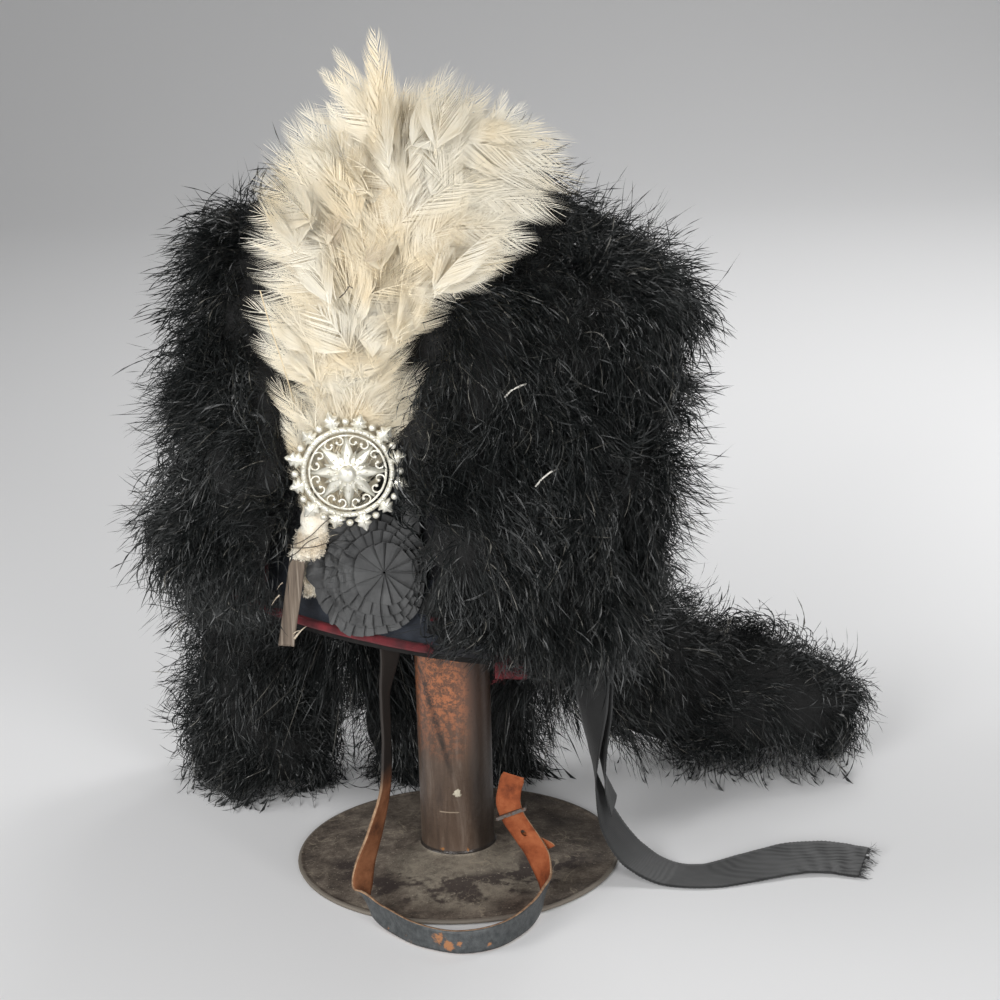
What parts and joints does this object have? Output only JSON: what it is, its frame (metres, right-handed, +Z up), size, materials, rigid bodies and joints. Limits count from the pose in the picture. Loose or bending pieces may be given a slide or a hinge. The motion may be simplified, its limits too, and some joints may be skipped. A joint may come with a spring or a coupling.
{
  "type": "feather bonnet on a stand",
  "caption": "Tall black ostrich feather bonnet with tails, cream side hackle, pierced metal badge, pleated rosette, chin strap and ribbons, on an iron post stand with a disc foot.",
  "frame": {"origin": "centre of the underside of the stand's disc foot, on the surface it stands on", "axes": "+Z up. -X is the wearer's front and +X the back. -Y is the wearer's left side, where the badge, the rosette and the hackle are. The tails hang on the +Y side."},
  "size_m": [0.5077, 0.3868, 0.5818],
  "materials": {
    "iron": "worn dark brown",
    "black_feather": "soft",
    "cream_feather": "soft",
    "black_cloth": "matte",
    "navy_cloth": "woven, diced with red",
    "red_cloth": "felted",
    "cream_cloth": "matte, aged",
    "black_leather": "satin",
    "tan_leather": "worn",
    "silk_ribbon": "ribbed silk",
    "white_metal": "cast, slightly tarnished",
    "steel_wire": "dull",
    "weathered_wood": "split, dry"
  },
  "bodies": {
    "root": {"stand": "iron", "crown": "black_cloth", "headband": "navy_cloth", "rim_welt": "red_cloth", "sweatband": "black_leather", "feather_cover": "black_feather", "tail_front": "black_feather", "tail_middle": "black_feather", "tail_back": "black_feather", "plume": "cream_feather", "plume_sleeve": "cream_cloth", "plume_stem": "weathered_wood", "plume_cloth": "cream_cloth", "badge": "white_metal", "rosette_tier_1": "silk_ribbon", "rosette_tier_2": "silk_ribbon", "rosette_tier_3": "silk_ribbon", "rosette_tier_4": "silk_ribbon", "rosette_tab": "silk_ribbon", "chin_strap": "tan_leather", "strap_buckle": "steel_wire", "ribbon_long": "silk_ribbon", "ribbon_short": "silk_ribbon"}
  },
  "joints": []
}
